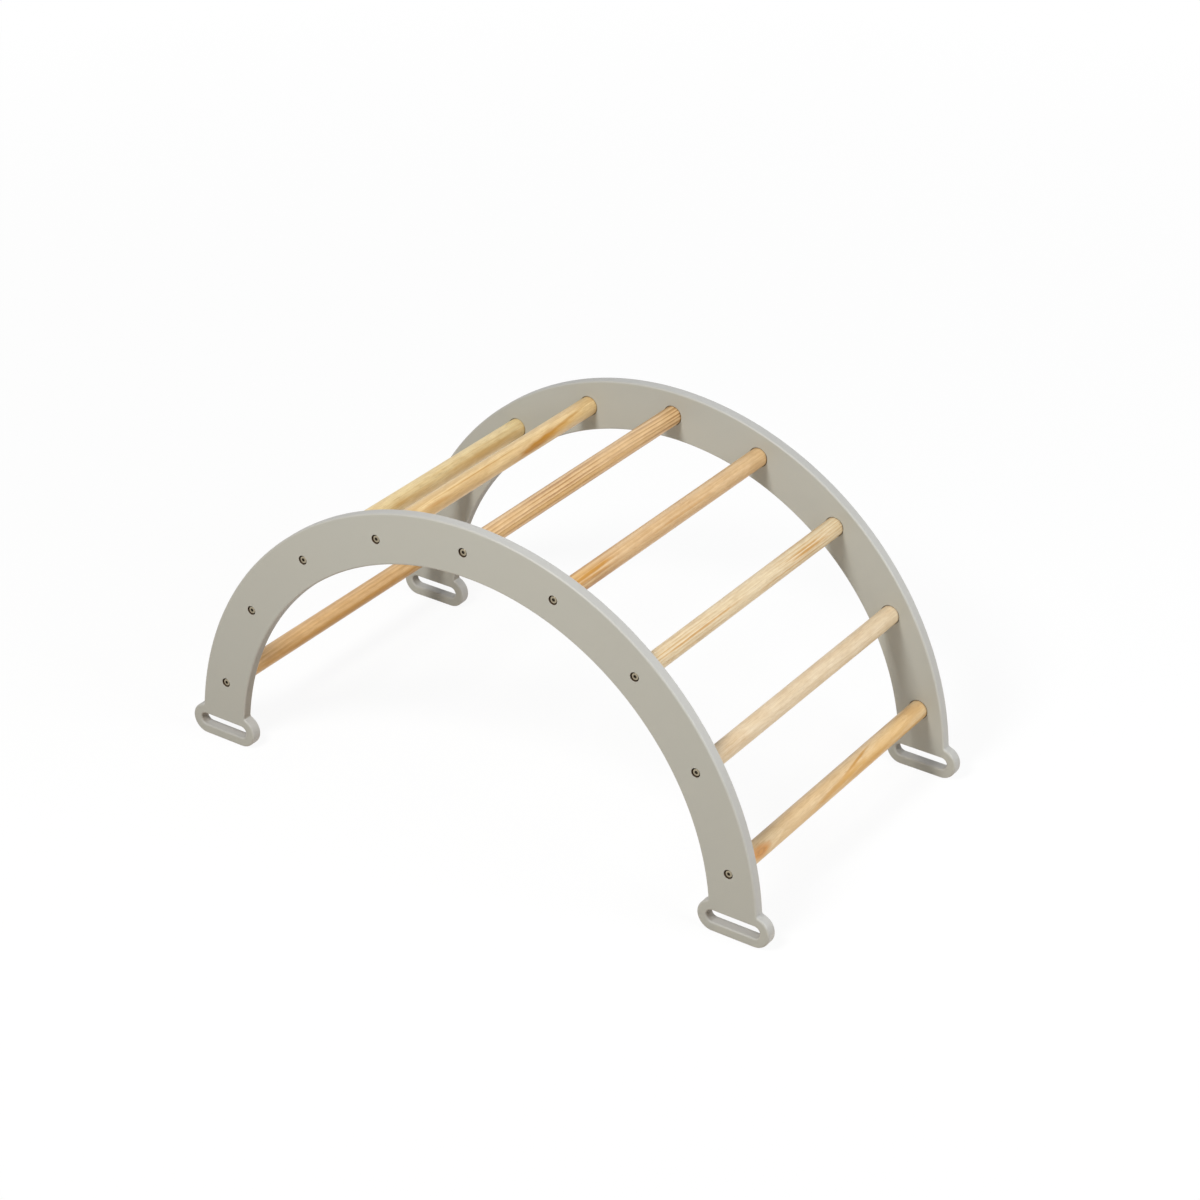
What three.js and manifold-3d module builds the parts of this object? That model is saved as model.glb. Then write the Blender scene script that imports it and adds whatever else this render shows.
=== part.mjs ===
// A climbing arch for small children: two arched side panels of painted board, joined by round
// wooden rungs. Turned over, it rocks on the arches, and the slots in its feet become handles.
// Millimetres. +X runs along the arch, +Y across it and +Z up, from the floor under its middle.
import * as THREE from "three";
import { mergeVertices, toCreasedNormals } from "three/addons/utils/BufferGeometryUtils.js";
import Module from "manifold-3d";

const wasm = await Module();
wasm.setup();

// Side panels, each cut from one board
const ARCH_RADIUS = 460; // to the middle of the band, where the rungs sit
const BAND_WIDTH = 79;
const PANEL_THICKNESS = 18;
const PANEL_SPACING = 519; // clear width between the panels
const EDGE_ROUND = 3; // every edge of the board is rounded over

// Feet, one at each end of a panel, with a slot for a hand or a strap
const FOOT_LENGTH = 119;
const FOOT_HEIGHT = 50;
const FOOT_RISE = 16; // the foot's middle lies this far above the arch's centre
const FOOT_FILLET = 4; // inside corner between leg and foot, as left by the router bit
const SLOT_WALL = 15.5; // board left all round the slot

// Rungs, their ends let into sockets in the panels
const RUNG_COUNT = 9;
const RUNG_PITCH = THREE.MathUtils.degToRad(19.5);
const RUNG_DIAMETER = 30;
const RUNG_CHAMFER = 1;
const SOCKET_DEPTH = 5;

// Low-head hexagon socket bolts, one through the panel into each rung end
const BOLT_HEAD_DIAMETER = 11;
const BOLT_HEAD_HEIGHT = 4;
const BOLT_HEAD_CHAMFER = 0.6;
const BOLT_HEAD_SINK = 1.5; // below the panel's outer face
const BOLT_DIAMETER = 6;
const BOLT_LENGTH = 30; // under the head
const BOLT_TIP_CHAMFER = 0.8;
const HEXAGON_WIDTH = 4; // across flats
const HEXAGON_DEPTH = 2;

// Threaded inserts, screwed into the end grain of each rung
const INSERT_DIAMETER = 10;
const INSERT_LENGTH = 15;
const INSERT_CHAMFER = 1;
const INSERT_SINK = 0.5; // below the rung's end face

// Clearances
const SEAT_GAP = 0.3; // between pieces that touch
const BOLT_PLAY = 0.4; // around the bolt, in the panel
const HEAD_PLAY = 1.5; // around the bolt's head, in its counterbore
const TIP_ROOM = 4; // past the bolt's tip, in the rung
const OVERRUN = 2; // how far a cutter reaches past a face

// Steps round a circle or along an arc
const ARCH_STEPS = 24; // in each quarter
const FOOT_STEPS = 6;
const FILLET_STEPS = 3;
const SLOT_STEPS = 7;
const ROUND_STEPS = 2;
const RUNG_SIDES = 20;
const BOLT_SIDES = 12;
const INSERT_SIDES = 10;
const CREASE_ANGLE = THREE.MathUtils.degToRad(35);

// Sizes that follow
const archOuterRadius = ARCH_RADIUS + BAND_WIDTH / 2;
const archInnerRadius = ARCH_RADIUS - BAND_WIDTH / 2;
const archCentreHeight = FOOT_HEIGHT / 2 - FOOT_RISE;
const overallWidth = PANEL_SPACING + 2 * PANEL_THICKNESS;
const footEndOffset = (FOOT_LENGTH - FOOT_HEIGHT) / 2;
const slotEndRadius = FOOT_HEIGHT / 2 - SLOT_WALL;
const rungLength = PANEL_SPACING + 2 * (SOCKET_DEPTH - SEAT_GAP);

// Depths from the panel's outer face
const headSeatDepth = BOLT_HEAD_SINK + BOLT_HEAD_HEIGHT;
const counterboreDepth = headSeatDepth + SEAT_GAP;
const boltTipDepth = headSeatDepth + BOLT_LENGTH;
const socketFloorDepth = PANEL_THICKNESS - SOCKET_DEPTH;
const rungEndDepth = socketFloorDepth + SEAT_GAP;
const insertStartDepth = rungEndDepth + INSERT_SINK;
const insertEndDepth = insertStartDepth + INSERT_LENGTH;
const rungBoreEndDepth = Math.max(boltTipDepth, insertEndDepth) + TIP_ROOM;

const paint = new THREE.MeshStandardMaterial({ color: 0xb4b1a5, roughness: 0.55, metalness: 0 });
const wood = new THREE.MeshStandardMaterial({ color: 0xdcb883, roughness: 0.6, metalness: 0 });
const bronzePlate = new THREE.MeshStandardMaterial({ color: 0x8a7453, roughness: 0.35, metalness: 1 });
const bareSteel = new THREE.MeshStandardMaterial({ color: 0xa9a9ac, roughness: 0.4, metalness: 1 });

function toSolid(geometry) {
  const bare = geometry.clone();
  bare.deleteAttribute("normal");
  bare.deleteAttribute("uv");
  const merged = mergeVertices(bare);
  const vertProperties = merged.attributes.position.array;
  const triVerts = new Uint32Array(merged.index.array);
  return new wasm.Manifold(new wasm.Mesh({ numProp: 3, vertProperties, triVerts }));
}

function toGeometry(solid) {
  const mesh = solid.getMesh();
  const geometry = new THREE.BufferGeometry();
  geometry.setAttribute("position", new THREE.BufferAttribute(mesh.vertProperties, mesh.numProp));
  geometry.setIndex(new THREE.BufferAttribute(mesh.triVerts, 1));
  return toCreasedNormals(geometry, CREASE_ANGLE);
}

// A solid of revolution about Y, from pairs of radius and height, with its ends on the axis.
function turned(profile, sides) {
  return new THREE.LatheGeometry(profile.map(([radius, y]) => new THREE.Vector2(radius, y)), sides);
}

function arc(centre, radius, from, to, steps) {
  return Array.from({ length: steps + 1 }, (_, i) => {
    const angle = from + ((to - from) * i) / steps;
    const spoke = new THREE.Vector2(Math.cos(angle), Math.sin(angle));
    return spoke.multiplyScalar(radius).add(centre);
  });
}

// The upper point that lies at one distance from the arch's centre and at another from a point.
function meetingPoint(archDistance, point, pointDistance) {
  const span = point.length();
  const along = (archDistance ** 2 - pointDistance ** 2 + span ** 2) / (2 * span);
  const across = Math.sqrt(archDistance ** 2 - along ** 2);
  const direction = point.clone().normalize();
  const normal = new THREE.Vector2(-direction.y, direction.x);
  return direction.multiplyScalar(along).addScaledVector(normal, across);
}

// The panel's outline about the arch's centre, x along the arch and y up. The right half runs down
// the inner arc, round the foot and up the outer arc; the left half mirrors it.
function panelOutline() {
  const archCentre = new THREE.Vector2(0, 0);
  const innerEnd = new THREE.Vector2(ARCH_RADIUS - footEndOffset, FOOT_RISE);
  const outerEnd = new THREE.Vector2(ARCH_RADIUS + footEndOffset, FOOT_RISE);
  const endRadius = FOOT_HEIGHT / 2;
  const innerFillet = meetingPoint(archInnerRadius - FOOT_FILLET, innerEnd, endRadius + FOOT_FILLET);
  const outerFillet = meetingPoint(archOuterRadius + FOOT_FILLET, outerEnd, endRadius + FOOT_FILLET);
  const innerLeg = innerFillet.angle();
  const outerLeg = outerFillet.angle();
  const innerTurn = innerFillet.clone().sub(innerEnd).angle();
  const outerTurn = outerFillet.clone().sub(outerEnd).angle();
  const right = [
    ...arc(archCentre, archInnerRadius, Math.PI / 2, innerLeg, ARCH_STEPS),
    ...arc(innerFillet, FOOT_FILLET, innerLeg, innerTurn - Math.PI, FILLET_STEPS).slice(1),
    ...arc(innerEnd, endRadius, innerTurn, 1.5 * Math.PI, FOOT_STEPS).slice(1),
    ...arc(outerEnd, endRadius, -Math.PI / 2, outerTurn, FOOT_STEPS),
    ...arc(outerFillet, FOOT_FILLET, outerTurn + Math.PI, outerLeg + Math.PI, FILLET_STEPS).slice(1),
    ...arc(archCentre, archOuterRadius, outerLeg, Math.PI / 2, ARCH_STEPS).slice(1),
  ];
  const left = right.slice(1, -1).map((p) => new THREE.Vector2(-p.x, p.y));
  return [...right, ...left.reverse()];
}

// The slot's ends share their centres with the foot's ends.
function slotOutline(footX) {
  const right = new THREE.Vector2(footX + footEndOffset, FOOT_RISE);
  const left = new THREE.Vector2(footX - footEndOffset, FOOT_RISE);
  return [
    ...arc(right, slotEndRadius, -Math.PI / 2, Math.PI / 2, SLOT_STEPS),
    ...arc(left, slotEndRadius, Math.PI / 2, 1.5 * Math.PI, SLOT_STEPS),
  ];
}

// Where each rung's axis crosses a panel, about the arch's centre, from the left foot to the right.
const rungCentres = Array.from({ length: RUNG_COUNT }, (_, i) => {
  const angle = Math.PI / 2 - (i - (RUNG_COUNT - 1) / 2) * RUNG_PITCH;
  return new THREE.Vector2(Math.cos(angle), Math.sin(angle)).multiplyScalar(ARCH_RADIUS);
});

// The counterbore and bolt hole, drilled from the outer face at y = 0, and the socket that the
// rung's end sits in, drilled from the inner face.
function rungSeatCutter() {
  const counterbore = BOLT_HEAD_DIAMETER / 2 + HEAD_PLAY;
  const hole = BOLT_DIAMETER / 2 + BOLT_PLAY;
  const socket = RUNG_DIAMETER / 2 + SEAT_GAP;
  const boltWay = [
    [0, -OVERRUN],
    [counterbore, -OVERRUN],
    [counterbore, counterboreDepth],
    [hole, counterboreDepth],
    [hole, PANEL_THICKNESS],
    [0, PANEL_THICKNESS],
  ];
  const rungSocket = [
    [0, socketFloorDepth],
    [socket, socketFloorDepth],
    [socket, PANEL_THICKNESS + OVERRUN],
    [0, PANEL_THICKNESS + OVERRUN],
  ];
  return toSolid(turned(boltWay, BOLT_SIDES)).add(toSolid(turned(rungSocket, RUNG_SIDES)));
}

// One side panel, its outer face at y = 0 and the board on the +Y side of it.
function sidePanel() {
  const shape = new THREE.Shape(panelOutline());
  shape.holes = [-ARCH_RADIUS, ARCH_RADIUS].map((x) => new THREE.Path(slotOutline(x)));
  const board = new THREE.ExtrudeGeometry(shape, {
    depth: PANEL_THICKNESS - 2 * EDGE_ROUND,
    steps: 1,
    bevelThickness: EDGE_ROUND,
    bevelSize: EDGE_ROUND,
    bevelOffset: -EDGE_ROUND,
    bevelSegments: ROUND_STEPS,
  });
  board.rotateX(Math.PI / 2).translate(0, PANEL_THICKNESS - EDGE_ROUND, 0);
  const cutter = rungSeatCutter();
  const cutters = rungCentres.map(({ x, y }) => cutter.translate([x, 0, y]));
  return toGeometry(cutters.reduce((left, cut) => left.subtract(cut), toSolid(board)));
}

// A round rung along Y, bored from both ends for the inserts.
function rung() {
  const radius = RUNG_DIAMETER / 2;
  const bore = INSERT_DIAMETER / 2 + SEAT_GAP;
  const end = rungLength / 2;
  const boreEnd = overallWidth / 2 - rungBoreEndDepth;
  const half = [
    [0, boreEnd],
    [bore, boreEnd],
    [bore, end],
    [radius - RUNG_CHAMFER, end],
    [radius, end - RUNG_CHAMFER],
  ];
  const otherHalf = half.map(([r, y]) => [r, -y]);
  return turned([...otherHalf, ...half.reverse()], RUNG_SIDES);
}

// A bolt along Y, its head towards -Y and the underside of the head at y = 0.
function bolt() {
  const head = BOLT_HEAD_DIAMETER / 2;
  const shank = BOLT_DIAMETER / 2;
  const profile = [
    [0, -BOLT_HEAD_HEIGHT],
    [head - BOLT_HEAD_CHAMFER, -BOLT_HEAD_HEIGHT],
    [head, BOLT_HEAD_CHAMFER - BOLT_HEAD_HEIGHT],
    [head, 0],
    [shank, 0],
    [shank, BOLT_LENGTH - BOLT_TIP_CHAMFER],
    [shank - BOLT_TIP_CHAMFER, BOLT_LENGTH],
    [0, BOLT_LENGTH],
  ];
  const cornerRadius = HEXAGON_WIDTH / 2 / Math.cos(Math.PI / 6);
  const hexagon = new THREE.CylinderGeometry(cornerRadius, cornerRadius, 2 * HEXAGON_DEPTH, 6);
  hexagon.translate(0, -BOLT_HEAD_HEIGHT, 0);
  return toGeometry(toSolid(turned(profile, BOLT_SIDES)).subtract(toSolid(hexagon)));
}

// A threaded insert along Y, its outer end at y = 0.
function insert() {
  const bore = BOLT_DIAMETER / 2 + SEAT_GAP;
  const outside = INSERT_DIAMETER / 2;
  const profile = [
    [bore, 0],
    [outside, 0],
    [outside, INSERT_LENGTH - INSERT_CHAMFER],
    [outside - INSERT_CHAMFER, INSERT_LENGTH],
    [bore, INSERT_LENGTH],
    [bore, 0],
  ];
  return turned(profile, INSERT_SIDES);
}

function piece(name, geometry, material, x, y, z) {
  const mesh = new THREE.Mesh(geometry, material);
  mesh.name = name;
  mesh.position.set(x, y, z);
  return mesh;
}

// One side of the arch, seen from the front: its panel, with a bolt and an insert at each rung.
function side(name, turn) {
  const group = new THREE.Group();
  const outerFace = -overallWidth / 2;
  const [panelGeometry, boltGeometry, insertGeometry] = sideGeometries;
  group.add(piece(`side_panel_${name}`, panelGeometry, paint, 0, outerFace, 0));
  rungCentres.forEach(({ x, y: z }, i) => {
    const number = turn ? RUNG_COUNT - i : i + 1;
    const seat = outerFace + headSeatDepth;
    const start = outerFace + insertStartDepth;
    group.add(piece(`bolt_${name}_${number}`, boltGeometry, bronzePlate, x, seat, z));
    group.add(piece(`threaded_insert_${name}_${number}`, insertGeometry, bareSteel, x, start, z));
  });
  group.rotation.z = turn;
  return group;
}

const climbingArch = new THREE.Group();
climbingArch.position.z = archCentreHeight;
const sideGeometries = [sidePanel(), bolt(), insert()];
climbingArch.add(side("front", 0), side("back", Math.PI));
const rungGeometry = rung();
rungCentres.forEach(({ x, y: z }, i) => {
  climbingArch.add(piece(`rung_${i + 1}`, rungGeometry, wood, x, 0, z));
});

export default climbingArch;
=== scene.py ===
# A climbing arch for small children, dressed for its picture: two painted side panels, nine wooden
# rungs, and the bolts and inserts that hold them together. Metres, +X along the arch, +Z up.
import math

import bmesh
import bpy
from mathutils import Matrix, Vector, noise


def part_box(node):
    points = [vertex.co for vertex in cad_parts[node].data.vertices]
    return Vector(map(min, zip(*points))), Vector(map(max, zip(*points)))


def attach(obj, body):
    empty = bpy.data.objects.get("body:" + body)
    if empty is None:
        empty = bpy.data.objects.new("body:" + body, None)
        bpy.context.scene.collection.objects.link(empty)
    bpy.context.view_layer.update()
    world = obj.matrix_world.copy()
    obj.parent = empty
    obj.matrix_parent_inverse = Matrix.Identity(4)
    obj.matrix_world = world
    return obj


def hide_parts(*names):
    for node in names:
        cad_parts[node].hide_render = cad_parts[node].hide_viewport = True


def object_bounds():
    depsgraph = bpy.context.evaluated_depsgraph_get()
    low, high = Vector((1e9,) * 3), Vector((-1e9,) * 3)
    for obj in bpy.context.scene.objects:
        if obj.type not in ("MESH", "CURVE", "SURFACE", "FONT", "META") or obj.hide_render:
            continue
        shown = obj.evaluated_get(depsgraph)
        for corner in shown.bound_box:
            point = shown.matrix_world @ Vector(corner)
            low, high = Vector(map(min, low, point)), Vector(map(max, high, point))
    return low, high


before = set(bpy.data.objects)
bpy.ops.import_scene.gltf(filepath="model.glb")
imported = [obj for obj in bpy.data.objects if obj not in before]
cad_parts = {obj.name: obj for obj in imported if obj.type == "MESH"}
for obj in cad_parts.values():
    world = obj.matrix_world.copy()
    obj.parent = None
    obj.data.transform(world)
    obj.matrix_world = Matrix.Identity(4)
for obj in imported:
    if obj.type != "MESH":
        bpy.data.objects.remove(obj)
cad_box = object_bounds()
scene = bpy.context.scene
scene.view_settings.view_transform = "Standard"


# The camera. It stands to the right of the arch's front and looks down on it from a little over
# child height, with a long lens and a slight roll.
CAMERA_AZIMUTH = math.radians(33.795)
CAMERA_ELEVATION = math.radians(29.195)
CAMERA_ROLL = math.radians(0.708)
CAMERA_DISTANCE = 4.273
CAMERA_TARGET = Vector((0.2316, -0.2775, 0.4685))
LENS_MM = 94.43
SENSOR_MM = 36


def compass_direction(azimuth, elevation):
    """Towards the viewer who stands at this azimuth from the front, at this elevation."""
    level = math.cos(elevation)
    return Vector((math.sin(azimuth) * level, -math.cos(azimuth) * level, math.sin(elevation)))


camera = bpy.data.objects.new("camera", bpy.data.cameras.new("camera"))
camera.data.lens = LENS_MM
camera.data.sensor_width = SENSOR_MM
camera.data.sensor_fit = "HORIZONTAL"
camera_back = compass_direction(CAMERA_AZIMUTH, CAMERA_ELEVATION)
camera_turn = camera_back.to_track_quat("Z", "Y").to_matrix().to_4x4()
camera_place = Matrix.Translation(CAMERA_TARGET + CAMERA_DISTANCE * camera_back)
camera.matrix_world = camera_place @ camera_turn @ Matrix.Rotation(CAMERA_ROLL, 4, "Z")
scene.collection.objects.link(camera)
scene.camera = camera


# The studio. The arch stands on a pale floor in a white room, under one soft light from above its
# front, with broad soft fills from the right, from behind on the right and from behind on the left.
SOFT_LIGHTS = {
    "front_light": dict(azimuth=-6, elevation=50, size=0.9, watts=65, color=(1.0, 0.985, 0.955)),
    "right_light": dict(azimuth=90, elevation=30, size=1.8, watts=49, color=(0.95, 0.98, 1.0)),
    "back_right_light": dict(azimuth=135, elevation=24, size=1.8, watts=10, color=(0.92, 0.965, 1.0)),
    "back_left_light": dict(azimuth=-154, elevation=36, size=1.8, watts=8, color=(0.92, 0.965, 1.0)),
}
LIGHT_DISTANCE = 3.2
ROOM_LIGHT = 0.20
ROOM_COLOR = (0.97, 0.985, 1.0, 1)
WHITE = (1, 1, 1, 1)
FLOOR_SIZE = 40
FLOOR_COLOR = (0.90, 0.90, 0.90, 1)
FLOOR_BOUNCE_COLOR = (0.80, 0.70, 0.58, 1)
FLOOR_GLOW_SHARE = 0.91
FLOOR_WHITE_FROM = (0.9, 3.6)
FLOOR_DROP = 0.0004


def new_material(name):
    material = bpy.data.materials.new(name)
    material.use_nodes = True
    material.node_tree.nodes.clear()
    return material


def add_node(tree, kind, inputs=None, **settings):
    """A node with its settings, and its inputs given as values or as the sockets that feed them."""
    node = tree.nodes.new(kind)
    for key, value in settings.items():
        setattr(node, key, value)
    for key, value in (inputs or {}).items():
        if isinstance(value, bpy.types.NodeSocket):
            tree.links.new(value, node.inputs[key])
        else:
            node.inputs[key].default_value = value
    return node


def maths(tree, operation, *values):
    return add_node(tree, "ShaderNodeMath", dict(enumerate(values)), operation=operation).outputs[0]


def length_of(tree, vector):
    return add_node(tree, "ShaderNodeVectorMath", {0: vector}, operation="LENGTH").outputs["Value"]


def spread(tree, value, start, end, low, high):
    """Maps one range to another and stays inside it."""
    levels = {"Value": value, "From Min": start, "From Max": end, "To Min": low, "To Max": high}
    return add_node(tree, "ShaderNodeMapRange", levels).outputs[0]


def blended(tree, share, first, second, way="MIX"):
    inputs = {0: share, 6: first, 7: second}
    return add_node(tree, "ShaderNodeMix", inputs, data_type="RGBA", blend_type=way).outputs[2]


def own_place(tree):
    """A place in metres, measured from the piece's own origin."""
    return add_node(tree, "ShaderNodeTexCoord").outputs["Object"]


def seen_directly(tree):
    """One where the camera, a mirror or glass looks straight at the background, and else zero."""
    path = add_node(tree, "ShaderNodeLightPath").outputs
    mirrored = maths(tree, "MAXIMUM", path["Is Camera Ray"], path["Is Glossy Ray"])
    return maths(tree, "MAXIMUM", mirrored, path["Is Transmission Ray"])


def white_room():
    world = bpy.data.worlds.new("white_room")
    world.use_nodes = True
    tree = world.node_tree
    tree.nodes.clear()
    light = add_node(tree, "ShaderNodeBackground", {"Color": ROOM_COLOR, "Strength": ROOM_LIGHT})
    wall = add_node(tree, "ShaderNodeBackground", {"Color": WHITE, "Strength": 1.0})
    shaders = {0: seen_directly(tree), 1: light.outputs[0], 2: wall.outputs[0]}
    either = add_node(tree, "ShaderNodeMixShader", shaders)
    add_node(tree, "ShaderNodeOutputWorld", {"Surface": either.outputs[0]})
    scene.world = world


def floor_material():
    """Seen directly, the floor glows nearly white round the arch and wholly white further off."""
    material = new_material("pale_floor")
    tree = material.node_tree
    direct = seen_directly(tree)
    color = blended(tree, direct, FLOOR_BOUNCE_COLOR, FLOOR_COLOR)
    matt = add_node(tree, "ShaderNodeBsdfDiffuse", {"Color": color, "Roughness": 1.0})
    glow = add_node(tree, "ShaderNodeEmission", {"Color": WHITE, "Strength": 1.0})
    distance = length_of(tree, own_place(tree))
    glowing = spread(tree, distance, *FLOOR_WHITE_FROM, FLOOR_GLOW_SHARE, 1.0)
    shaders = {0: maths(tree, "MULTIPLY", direct, glowing), 1: matt.outputs[0], 2: glow.outputs[0]}
    both = add_node(tree, "ShaderNodeMixShader", shaders)
    add_node(tree, "ShaderNodeOutputMaterial", {"Surface": both.outputs[0]})
    return material


def add_floor():
    half = FLOOR_SIZE / 2
    corners = [(-half, -half), (half, -half), (half, half), (-half, half)]
    mesh = bpy.data.meshes.new("floor")
    mesh.from_pydata([(x, y, -FLOOR_DROP) for x, y in corners], [], [range(4)])
    mesh.materials.append(floor_material())
    floor = bpy.data.objects.new("floor", mesh)
    scene.collection.objects.link(floor)


def add_soft_light(name, azimuth, elevation, size, watts, color):
    lamp = bpy.data.lights.new(name, "AREA")
    lamp.shape = "DISK"
    lamp.size = size
    lamp.energy = watts
    lamp.color = color
    light = bpy.data.objects.new(name, lamp)
    towards_light = compass_direction(math.radians(azimuth), math.radians(elevation))
    aim = towards_light.to_track_quat("Z", "Y").to_matrix().to_4x4()
    middle = (cad_box[0] + cad_box[1]) / 2
    light.matrix_world = Matrix.Translation(middle + LIGHT_DISTANCE * towards_light) @ aim
    scene.collection.objects.link(light)


white_room()
add_floor()
for name, light in SOFT_LIGHTS.items():
    add_soft_light(name, **light)


# The side panels. Each is one smooth 18 mm board, routed to an arch that ends in two feet with hand
# slots, rounded over on every edge and painted a warm light grey, in satin. Nine counterbored bolt
# holes come in from outside and meet nine rung sockets from inside.
ARCH_RADIUS = 0.460
BAND_WIDTH = 0.079
ARCH_CENTRE_HEIGHT = 0.009
EDGE_ROUND = 0.003
FOOT_RISE = 0.016
FOOT_HEIGHT = 0.050
FOOT_FILLET = 0.004
SLOT_WALL = 0.0155
SOCKET_DEPTH = 0.005
SOCKET_PLAY = 0.0007
COUNTERBORE_RADIUS = 0.007
COUNTERBORE_DEPTH = 0.0058
BOLT_HOLE_RADIUS = 0.0034
DRILLED_EDGE = 0.0005
ARCH_STEPS = 96
FOOT_STEPS = 28
FILLET_STEPS = 8
SLOT_STEPS = 24
EDGE_STEPS = 6
HOLE_STEPS = 56
SHARP_ANGLE = math.radians(32)
RUNG_NUMBERS = range(1, 10)

PAINT_COLOR = (0.500, 0.499, 0.452, 1)
PAINT_COOL_COLOR = (0.488, 0.498, 0.460, 1)
PAINT_RIM_COLOR = (0.478, 0.470, 0.448, 1)
HOLLOW_SHADE_COLOR = (0.315, 0.285, 0.238, 1)
WORN_AND_HIGHLIGHT_COLOR = (0.55, 0.54, 0.505, 1)
EDGE_WEAR_AND_HIGHLIGHT = 0.35
BARE_BOARD_AND_SHADE_COLOR = (0.090, 0.055, 0.030, 1)
PAINT_ROUGHNESS = (0.40, 0.54)
CLOUD_PER_METRE = 7
CLOUD_DETAIL = 3
BRUSH_PER_METRE = 45
BRUSH_DETAIL = 4
STIPPLE_PER_METRE = 620
STIPPLE_DETAIL = 2
STIPPLE_HEIGHT = 0.00006

foot_end_radius = FOOT_HEIGHT / 2
foot_end_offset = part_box("side_panel_front")[1].x - ARCH_RADIUS - foot_end_radius


def rung_centre(number):
    """Where the rung's axis crosses the panels, as x and height above the floor."""
    low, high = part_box(f"rung_{number}")
    return Vector(((low.x + high.x) / 2, (low.z + high.z) / 2))


def arc(centre, radius, start, end, steps, facing=1):
    """Points along an arc, each with the direction in which the board's edge faces there."""
    points = []
    for i in range(steps + 1):
        angle = start + (end - start) * i / steps
        spoke = Vector((math.cos(angle), math.sin(angle)))
        points.append((centre + radius * spoke, facing * spoke))
    return points


def meeting_point(arch_distance, point, point_distance):
    """The upper point at one distance from the arch's centre and at another from a point."""
    span = point.length
    along = (arch_distance**2 - point_distance**2 + span**2) / (2 * span)
    across = math.sqrt(arch_distance**2 - along**2)
    direction = point.normalized()
    return along * direction + across * Vector((-direction.y, direction.x))


def angle_of(vector):
    return math.atan2(vector.y, vector.x)


def right_half_outline():
    """From the crown down the inner arc, round the right foot and up the outer arc."""
    centre = Vector((0, 0))
    inner_radius = ARCH_RADIUS - BAND_WIDTH / 2
    outer_radius = ARCH_RADIUS + BAND_WIDTH / 2
    inner_end = Vector((ARCH_RADIUS - foot_end_offset, FOOT_RISE))
    outer_end = Vector((ARCH_RADIUS + foot_end_offset, FOOT_RISE))
    inner_fillet = meeting_point(inner_radius - FOOT_FILLET, inner_end, foot_end_radius + FOOT_FILLET)
    outer_fillet = meeting_point(outer_radius + FOOT_FILLET, outer_end, foot_end_radius + FOOT_FILLET)
    inner_leg = angle_of(inner_fillet)
    outer_leg = angle_of(outer_fillet)
    inner_turn = angle_of(inner_fillet - inner_end)
    outer_turn = angle_of(outer_fillet - outer_end)
    up = math.pi / 2
    inner_arc = arc(centre, inner_radius, up, inner_leg, ARCH_STEPS, -1)
    inner_corner = arc(inner_fillet, FOOT_FILLET, inner_leg, inner_turn - math.pi, FILLET_STEPS, -1)
    inner_round = arc(inner_end, foot_end_radius, inner_turn, 3 * up, FOOT_STEPS)
    outer_round = arc(outer_end, foot_end_radius, -up, outer_turn, FOOT_STEPS)
    outer_corner = arc(
        outer_fillet, FOOT_FILLET, outer_turn + math.pi, outer_leg + math.pi, FILLET_STEPS, -1
    )
    outer_arc = arc(centre, outer_radius, outer_leg, up, ARCH_STEPS)
    return inner_arc + inner_corner[1:] + inner_round[1:] + outer_round + outer_corner[1:] + outer_arc[1:]


def mirrored(outline):
    return [(Vector((-p.x, p.y)), Vector((-facing.x, facing.y))) for p, facing in reversed(outline)]


def whole_outline():
    right = right_half_outline()
    outline = right + mirrored(right[1:-1])
    lift = Vector((0, ARCH_CENTRE_HEIGHT))
    return [(p + lift, facing) for p, facing in outline]


def slot_outline(foot_x):
    """The hand slot shares the centres of the foot's round ends, and its edge faces inwards."""
    height = ARCH_CENTRE_HEIGHT + FOOT_RISE
    radius = foot_end_radius - SLOT_WALL
    up = math.pi / 2
    right = arc(Vector((foot_x + foot_end_offset, height)), radius, -up, up, SLOT_STEPS, -1)
    left = arc(Vector((foot_x - foot_end_offset, height)), radius, up, 3 * up, SLOT_STEPS, -1)
    return right + left


def rounded_edge_rings(outline, thickness):
    """Rings from the outer face round both rounded edges to the inner face."""
    turns = [math.pi / 2 * i / EDGE_STEPS for i in range(EDGE_STEPS + 1)]
    profile = [(EDGE_ROUND * (1 - math.sin(t)), EDGE_ROUND * (1 - math.cos(t))) for t in turns]
    profile += [(inset, thickness - depth) for inset, depth in reversed(profile)]
    rings = []
    for inset, depth in profile:
        edge = [p - inset * facing for p, facing in outline]
        rings.append([Vector((p.x, depth, p.y)) for p in edge])
    return rings


def hollow_shade_levels(outline):
    """Where painted shade goes: one along the arch's inner rim and at the round ends of a slot, and zero
    elsewhere.
    """
    foot_top = ARCH_CENTRE_HEIGHT + FOOT_RISE + foot_end_radius
    if max(p.y for p, facing in outline) < foot_top:
        return [abs(facing.x) for p, facing in outline]
    return [1 if p.y > foot_top and facing.dot(p) < 0 else 0 for p, facing in outline]


def rung_seat_rings(centre, rung_radius, thickness):
    """The drilled way from the counterbore in the outer face to the rung socket in the inner one."""
    socket = rung_radius + SOCKET_PLAY
    floor = thickness - SOCKET_DEPTH
    profile = [
        (COUNTERBORE_RADIUS + DRILLED_EDGE, 0),
        (COUNTERBORE_RADIUS, DRILLED_EDGE),
        (COUNTERBORE_RADIUS, COUNTERBORE_DEPTH),
        (BOLT_HOLE_RADIUS, COUNTERBORE_DEPTH),
        (BOLT_HOLE_RADIUS, floor),
        (socket, floor),
        (socket, thickness - DRILLED_EDGE),
        (socket + DRILLED_EDGE, thickness),
    ]
    rings = []
    for radius, depth in profile:
        circle = arc(centre, radius, 0, 2 * math.pi, HOLE_STEPS)[:-1]
        rings.append([Vector((p.x, depth, p.y)) for p, facing in circle])
    return rings


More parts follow.
